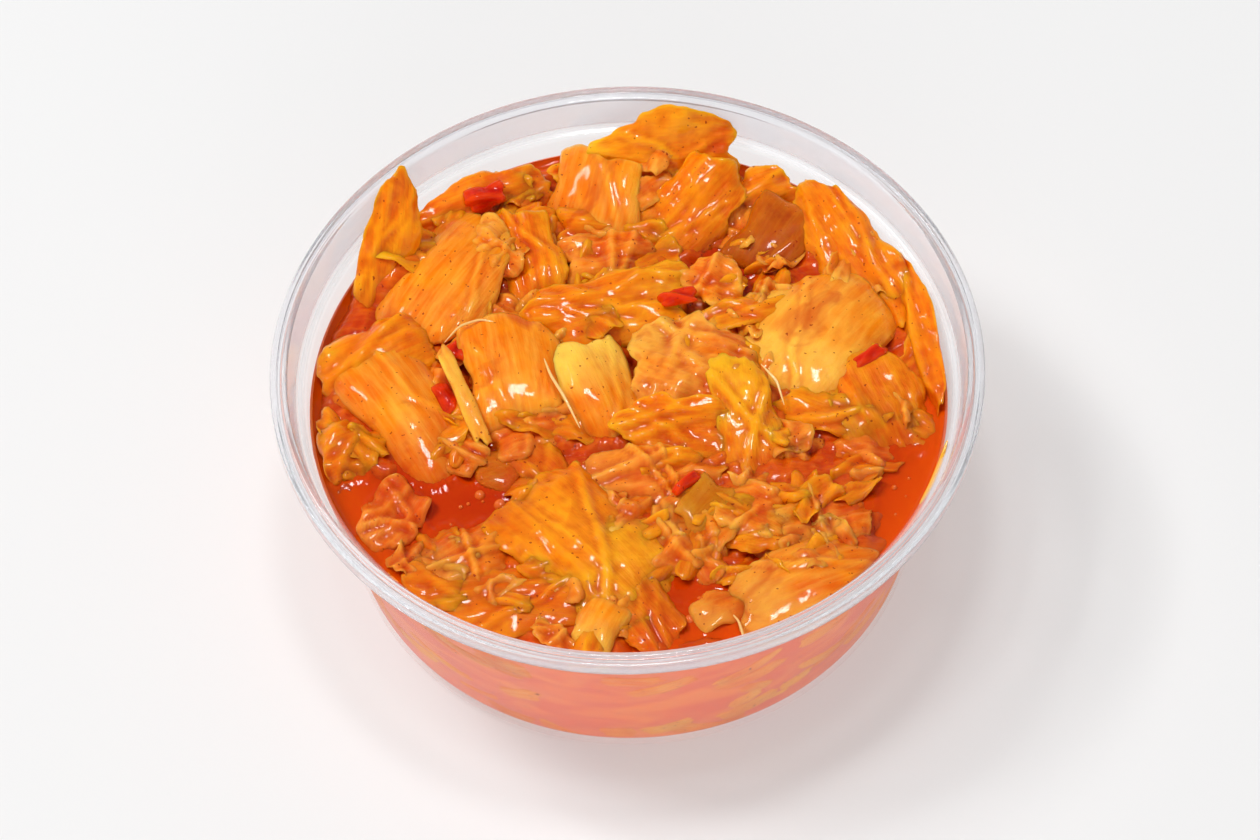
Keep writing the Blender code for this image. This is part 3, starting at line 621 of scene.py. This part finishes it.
def plastic_material():
    """Clear, slightly milky plastic: a thin see-through wall up to the ledge, solid plastic above it."""
    made, tree, shader = new_material("clear_plastic_look")
    slant = add(tree, "LayerWeight", blend=0.25).outputs["Facing"]
    cloudy = ramp(tree, noise(tree, 300, 3.0), -2.0, 1.0)
    cover = multiply(tree, ramp(tree, slant, 0.0, 1.0, 0.03, 0.30), cloudy)
    rim = ramp(tree, height_above_table(tree), LEDGE_HEIGHT * MM, (LEDGE_HEIGHT + 0.5) * MM)
    tree.links.new(combine(tree, "MAXIMUM", cover, rim), shader.inputs["Alpha"])
    tree.links.new(multiply(tree, rim, 0.78), shader.inputs["Transmission Weight"])
    shader.inputs["Base Color"].default_value = (0.96, 0.97, 1.0, 1)
    shader.inputs["Roughness"].default_value = 0.07
    shader.inputs["IOR"].default_value = 1.45
    roughen(tree, shader, noise(tree, 1200, 2.0), 0.08, 0.0001)
    return made


def plain_material(name, colour, roughness):
    """Wet and smooth, with a faint unevenness in its colour."""
    made, tree, shader = new_material(name)
    darker = tuple(c * 0.85 for c in colour)
    tree.links.new(blend(tree, noise(tree, 800, 3.0), darker, colour), shader.inputs["Base Color"])
    shader.inputs["Roughness"].default_value = roughness
    shader.inputs["Coat Weight"].default_value = 0.8
    shader.inputs["Coat Roughness"].default_value = 0.05
    return made


def floor_material():
    """A pale matt floor that glows a little, so that it stays near white in the shade."""
    made, tree, shader = new_material("pale_floor")
    soft = blend(tree, noise(tree, 3, 2.0), (0.47, 0.47, 0.47), (0.48, 0.48, 0.48))
    tree.links.new(soft, shader.inputs["Base Color"])
    shader.inputs["Emission Color"].default_value = (1.0, 1.0, 1.0, 1)
    shader.inputs["Emission Strength"].default_value = 0.37
    shader.inputs["Roughness"].default_value = 0.9
    shader.inputs["Specular IOR Level"].default_value = 0.1
    return made


# The object

def make_tub():
    lip_bottom = TUB_HEIGHT - LIP_DEPTH
    flange_under = TUB_HEIGHT - FLANGE_DEPTH
    groove_bottom = TUB_HEIGHT - GROOVE_DEPTH
    foot_inside = BASE_RADIUS - FOOT_WIDTH
    ledge_outside = LEDGE_RADIUS + WALL
    corners = [
        (0, FOOT_RECESS, 0),
        (foot_inside - 1.0, FOOT_RECESS, 1),
        (foot_inside, FOOT_CLEARANCE, 0.5),
        (BASE_RADIUS - 1.8, FOOT_CLEARANCE, 1.0),
        (BASE_RADIUS, 1.0, 2.0),
        (ledge_outside, LEDGE_HEIGHT - 1.2, 0.6),
        (ledge_outside + LEDGE_STEP, LEDGE_HEIGHT - 0.3, 0.6),
        (MOUTH_RADIUS + 0.9, flange_under, 0.5),
        (RIM_RADIUS - 0.9, flange_under, 0.3),
        (RIM_RADIUS - 0.8, lip_bottom, 0.2),
        (RIM_RADIUS, lip_bottom, 0.25),
        (RIM_RADIUS, TUB_HEIGHT, 0.45),
        (RIM_RADIUS - 1.0, TUB_HEIGHT, 0.3),
        (RIM_RADIUS - 1.2, groove_bottom, 0.2),
        (MOUTH_RADIUS + 1.1, groove_bottom, 0.2),
        (MOUTH_RADIUS + 0.9, TUB_HEIGHT, 0.3),
        (MOUTH_RADIUS, TUB_HEIGHT, 0.5),
        (LEDGE_RADIUS + LEDGE_STEP, LEDGE_HEIGHT + 0.4, 0.6),
        (LEDGE_RADIUS, LEDGE_HEIGHT, 0.5),
        (BASE_RADIUS - WALL, FLOOR_TOP, 2.0),
        (0, FLOOR_TOP, 0),
    ]
    turned("tub_look", rounded(corners), ["tub"], plastic_material())


def scrap_at(x, y, z, rng):
    """A small random piece with its middle at that place."""
    size = rng.uniform(*SCRAP_SIZES)
    return Piece(
        kind="crumple" if rng.random() < 0.4 else "leaf",
        x=x,
        y=y,
        z=z,
        heading=rng.uniform(0, 360),
        pitch=rng.uniform(-14, 14),
        roll=rng.uniform(-20, 20),
        length=size,
        width=size * rng.uniform(0.45, 0.8),
        root=1.3,
        tip=0.8,
        arch=rng.uniform(-20, 40),
        cup=rng.uniform(-20, 60),
        frill=0.8,
        round=0.6,
        pale=rng.uniform(0, 0.7),
    )


def all_pieces():
    """Every piece by kind: the named ones, then small random scraps that fill the heap between them."""
    shared = np.random.default_rng(SEED)
    rng = np.random.default_rng(SEED + 1)
    parts = {kind: [] for kind in KINDS}
    for piece in PIECES:
        waves = shared.uniform(0, math.tau, 6)
        parts[piece.kind].append(cabbage(piece, waves, rng))
    made = 0
    while made < SCRAPS:
        radius, angle = SCRAP_REACH * math.sqrt(rng.random()), rng.uniform(0, math.tau)
        x, y = radius * math.cos(angle), radius * math.sin(angle)
        z = float(bed_height(np.array([x]), np.array([y]))[0])
        if z < BRINE_LEVEL + SHORE_BAND:
            continue
        scrap = scrap_at(x, y, z + 0.2, rng)
        parts[scrap.kind].append(cabbage(scrap, rng.uniform(0, math.tau, 6), rng))
        made += 1
    return parts


def bed():
    """The mush of cabbage below the pieces."""
    x, y, faces = disc(float(inner_radius(BRINE_LEVEL)) - BED_INSET, BED_RINGS, BED_SPOKES)
    z = bed_height(x, y)
    above = np.clip(z - BRINE_LEVEL + BED_DEPTH, 0, 1)
    z = z + above * (0.9 * layered(x, y, 4.0, 4) - 0.5)
    colours = {
        "pale": np.clip(0.2 + 0.3 * layered(x + 50, y, 5), 0, 1),
        "rib": np.clip((1 - abs(waviness(x, y + 40, 2.0))) ** 6, 0, 1) * 0.5,
        "grain": np.column_stack([x, y, x * 0]),
    }
    return np.column_stack([x, y, z]), faces, colours


def make_brine(parts):
    """The liquid's surface, which climbs a little at the pieces and at the wall."""
    edge = float(inner_radius(BRINE_LEVEL)) + BRINE_REACH
    x, y, faces = disc(edge, BED_RINGS, BED_SPOKES)
    shore = [
        point
        for kind in KINDS
        for part in parts[kind]
        for point in part[0][abs(part[0][:, 2] - BRINE_LEVEL) < SHORE_BAND][::2]
    ]
    tree = kdtree.KDTree(len(shore))
    for index, point in enumerate(shore):
        tree.insert((point[0], point[1], 0), index)
    tree.balance()
    far = np.array([tree.find((a, b, 0))[2] for a, b in zip(x, y)])
    wall = edge - np.hypot(x, y)
    z = BRINE_LEVEL + CLIMB * np.exp(-far / CLIMB_REACH) + CLIMB * np.exp(-wall / CLIMB_REACH)
    z = z + 0.05 * layered(x, y, 6)
    surface = (np.column_stack([x, y, z]), faces, {})
    joined("brine_look", [surface], ["kimchi"], brine_material())


def make_packed():
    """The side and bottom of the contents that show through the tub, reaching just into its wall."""
    edge = float(inner_radius(BRINE_LEVEL)) + BRINE_REACH
    low = FLOOR_TOP - SIDE_REACH
    corner = BASE_RADIUS - WALL + SIDE_REACH
    corners = [
        (0, low, 0),
        (corner - FLOOR_CURVE, low, 1.2),
        (corner, low + FLOOR_CURVE, 1.2),
        (edge + SIDE_REACH - BRINE_REACH, BRINE_LEVEL + 0.5, 0.2),
        (edge, BRINE_LEVEL + CLIMB, 0),
    ]
    turned("packed_look", rounded(corners), ["kimchi"], packed_material())


def pressed_piece(rng):
    """A piece of cabbage pressed flat on the inside of the wall."""
    turn = rng.uniform(0, math.tau)
    height = rng.uniform(FLOOR_TOP + 3, BRINE_LEVEL - 3)
    length, width = rng.uniform(7, 22), rng.uniform(2.5, 7)
    tilt = rng.normal(0, 0.35)
    along, across = PRESSED_DIVISIONS
    u, v, edge, angle = grid(along, across)
    ragged = 1 + 0.15 * layered(angle * 3 + turn * 40, v * 0 + height, 1.0)
    s = u * np.sqrt(1 - v * v / 2) * ragged * length / 2
    q = v * np.sqrt(1 - u * u / 2) * ragged * width / 2 + 1.2 * np.sin(s / 5 + turn)
    z = np.clip(height + s * math.sin(tilt) + q * math.cos(tilt), FLOOR_TOP + 1.7, BRINE_LEVEL + 0.4)
    around = turn + (s * math.cos(tilt) - q * math.sin(tilt)) / PRESSED_RADIUS
    sheets = []
    for depth in (SIDE_REACH + 0.12 - 0.3 * edge**4, -PRESSED_DEPTH):
        radius = inner_radius(z) + depth
        sheet = np.stack([radius * np.cos(around), radius * np.sin(around), z], axis=-1)
        sheets.append(sheet.reshape(-1, 3))
    pale = rng.uniform(0.1, 0.9) + 0.3 * layered(s + turn * 30, q, 5)
    vein = (0.5 + 0.5 * np.cos(q * 3 + 0.5 * np.sin(s))) ** 4
    grain = np.stack([s + turn * 90, q, s * 0 + height], axis=-1)
    return np.vstack(sheets), sheet_faces(along, across)[:, ::-1], two_sided(pale, vein, grain)


def strand(way, thick):
    """A thin thread along points in millimetres, thinner at both ends."""
    way = np.array(way, float)
    spots = np.linspace(0, len(way) - 1, STRAND_STEPS)
    line = np.column_stack([np.interp(spots, range(len(way)), way[:, axis]) for axis in range(3)])
    for _ in range(4):
        line[1:-1] = (line[:-2] + 2 * line[1:-1] + line[2:]) / 4
    ahead = np.gradient(line, axis=0)
    ahead /= np.linalg.norm(ahead, axis=1, keepdims=True)
    across = np.cross(ahead, (0, 0, 1))
    across /= np.linalg.norm(across, axis=1, keepdims=True)
    above = np.cross(across, ahead)
    radius = thick / 2 * np.sqrt(np.sin(np.linspace(0.06, math.pi - 0.06, STRAND_STEPS)))[:, None]
    rings = []
    for k in range(STRAND_SIDES):
        a = math.tau * k / STRAND_SIDES
        rings.append(line + radius * (across * math.cos(a) + above * math.sin(a)))
    points = np.stack(rings, axis=1).reshape(-1, 3)
    i, k = np.meshgrid(np.arange(STRAND_STEPS - 1), np.arange(STRAND_SIDES), indexing="ij")
    here = (i * STRAND_SIDES + k).ravel()
    after = (i * STRAND_SIDES + (k + 1) % STRAND_SIDES).ravel()
    faces = np.column_stack([here, after, after + STRAND_SIDES, here + STRAND_SIDES])
    return points, faces, {}


def bubble(x, y, radius):
    """A small dome of liquid standing on the brine."""
    bx, by, faces = disc(radius, BUBBLE_RINGS, BUBBLE_SPOKES)
    bz = BRINE_LEVEL + 0.02 + np.sqrt(np.maximum(radius**2 - bx**2 - by**2, 0)) * 0.8
    return np.column_stack([bx + x, by + y, bz]), faces, {}


def make_threads():
    """Thin threads of cabbage on the heap."""
    threads = [
        strand([(-13.6, 4.5, 38.8), (-12.6, 1, 38.9), (-10.4, -3.1, 38.2), (-8.1, -8.2, 36.6)], 0.55),
        strand([(15.2, -43, 33.0), (16.2, -45.4, 34.4), (16.6, -48, 35.6), (16.9, -50.2, 36.2)], 0.45),
        strand([(-30, 9, 38.2), (-27.5, 12, 38.6), (-24, 13.5, 38.2), (-20.5, 12.5, 38.0)], 0.4),
        strand([(22, 2, 38.4), (24.5, -1, 37.6), (25.5, -5, 36.4)], 0.45),
    ]
    pale = plain_material("thread_look", (1.0, 0.62, 0.22), 0.3)
    joined("thread_look", threads, ["kimchi"], pale)


def make_streak():
    """A streak of juice on the inside of the right wall."""
    way = [(51.6, -14.2, 37.6), (50.2, -17.6, 36.0), (48.6, -20.6, 34.4), (46.6, -23.4, 33.0)]
    yellow = plain_material("streak_look", (1.0, 0.45, 0.01), 0.15)
    joined("streak_look", [strand(way, 0.9)], ["kimchi"], yellow)


def make_bubbles():
    """Bubbles on the brine: the large ones where the photo shows them, and small ones round them."""
    rng = np.random.default_rng(BUBBLE_SEED)
    spots = [(-21.5, -19.9, 1.1), (-14.3, -22.2, 0.8), (-24.8, -17.8, 0.9)]
    spots += [(10.3, -39.8, 0.7), (8.5, -43.5, 0.9)]
    spots += [(rng.uniform(-30, -14), rng.uniform(-25, -15), rng.uniform(0.2, 0.5)) for _ in range(14)]
    spots += [(rng.uniform(41, 46), rng.uniform(-26, -12), rng.uniform(0.2, 0.5)) for _ in range(8)]
    foam = plain_material("bubble_look", (0.80, 0.13, 0.01), 0.05)
    joined("bubble_look", [bubble(*spot) for spot in spots], ["kimchi"], foam)


def make_kimchi():
    finishes = {kind: cabbage_material(kind) for kind in KINDS if kind != "chilli"}
    finishes["chilli"] = cabbage_material("chilli", stain_and_shade=CHILLI_STAIN_AND_SHADE)
    parts = all_pieces()
    make_brine(parts)
    make_packed()
    joined("mush_look", [bed()], ["kimchi"], cabbage_material("mush"))
    for kind in KINDS:
        joined(kind + "_look", parts[kind], ["kimchi"], finishes[kind])
    rng = np.random.default_rng(PRESSED_SEED)
    pressed = [pressed_piece(rng) for _ in range(PRESSED)]
    dull = cabbage_material("pressed", wet=0.0, subsurface=0.2, stain_and_shade=0.0)
    joined("pressed_look", pressed, ["kimchi"], dull)


# The stage

def make_stage():
    bpy.ops.mesh.primitive_plane_add(size=6)
    floor = bpy.context.object
    floor.name = "floor"
    floor.data.materials.append(floor_material())
    bpy.context.scene.world = soft_room()
    area_light("key", (-1.1, 0.3, 1.9), 0.65, 30, mirrored=False)
    area_light("top", (0.0, 0.05, 1.2), 0.2, 4)
    area_light("spark", (-0.7, 0.35, 1.0), 0.12, 0.9)
    area_light("front", (0.1, -1.3, 0.45), 0.9, 6, mirrored=False)
    scene = bpy.context.scene
    scene.view_settings.view_transform = "Standard"
    scene.cycles.use_denoising = True


def soft_room():
    """A white room, brighter round the horizon than above, so that little of it mirrors in the food."""
    world = bpy.data.worlds.new("soft_room")
    world.use_nodes = True
    tree = world.node_tree
    way = add(tree, "SeparateXYZ", vector=add(tree, "TexCoord").outputs["Generated"]).outputs["Z"]
    background = tree.nodes["Background"]
    background.inputs["Color"].default_value = (1.0, 1.0, 1.0, 1)
    tree.links.new(ramp(tree, way, 0.0, 0.6, 0.6, 0.16), background.inputs["Strength"])
    return world


def area_light(name, place, size, watts, mirrored=True):
    """A square lamp aimed at the frame's origin; one that isn't mirrored leaves no highlight."""
    light = bpy.data.lights.new(name, "AREA")
    light.size = size
    light.energy = watts
    lamp = bpy.data.objects.new(name, light)
    lamp.location = place
    lamp.visible_glossy = mirrored
    lamp.rotation_euler = (-Vector(place)).to_track_quat("-Z", "Y").to_euler()
    bpy.context.scene.collection.objects.link(lamp)


def make_camera():
    """A long lens that looks down on the tub, turned so that the picture's middle is on its axis."""
    tilt, roll = math.radians(ELEVATION), math.radians(ROLL)
    back = Vector((0, -math.cos(tilt), math.sin(tilt)))
    right = Vector((1, 0, 0))
    up = back.cross(right)
    place = Vector((0, 0, TUB_HEIGHT)) + back * DISTANCE
    off_x, off_y = PICTURE[0] / 2 - AXIS_PIXEL[0], PICTURE[1] / 2 - AXIS_PIXEL[1]
    sideways = off_x * math.cos(roll) + off_y * math.sin(roll)
    downwards = -off_x * math.sin(roll) + off_y * math.cos(roll)
    ahead = (-back * FOCAL + right * sideways - up * downwards).normalized()
    picture_right = right * math.cos(roll) + up * math.sin(roll)
    picture_right = (picture_right - ahead * picture_right.dot(ahead)).normalized()
    picture_up = picture_right.cross(ahead)
    data = bpy.data.cameras.new("camera")
    data.sensor_width = 36
    data.lens = FOCAL * data.sensor_width / PICTURE[0]
    camera = bpy.data.objects.new("camera", data)
    camera.matrix_world = Matrix.Translation(place * MM) @ Matrix(
        (picture_right, picture_up, -ahead)
    ).transposed().to_4x4()
    bpy.context.scene.collection.objects.link(camera)
    bpy.context.scene.camera = camera


make_tub()
make_kimchi()
make_threads()
make_streak()
make_bubbles()
make_stage()
make_camera()
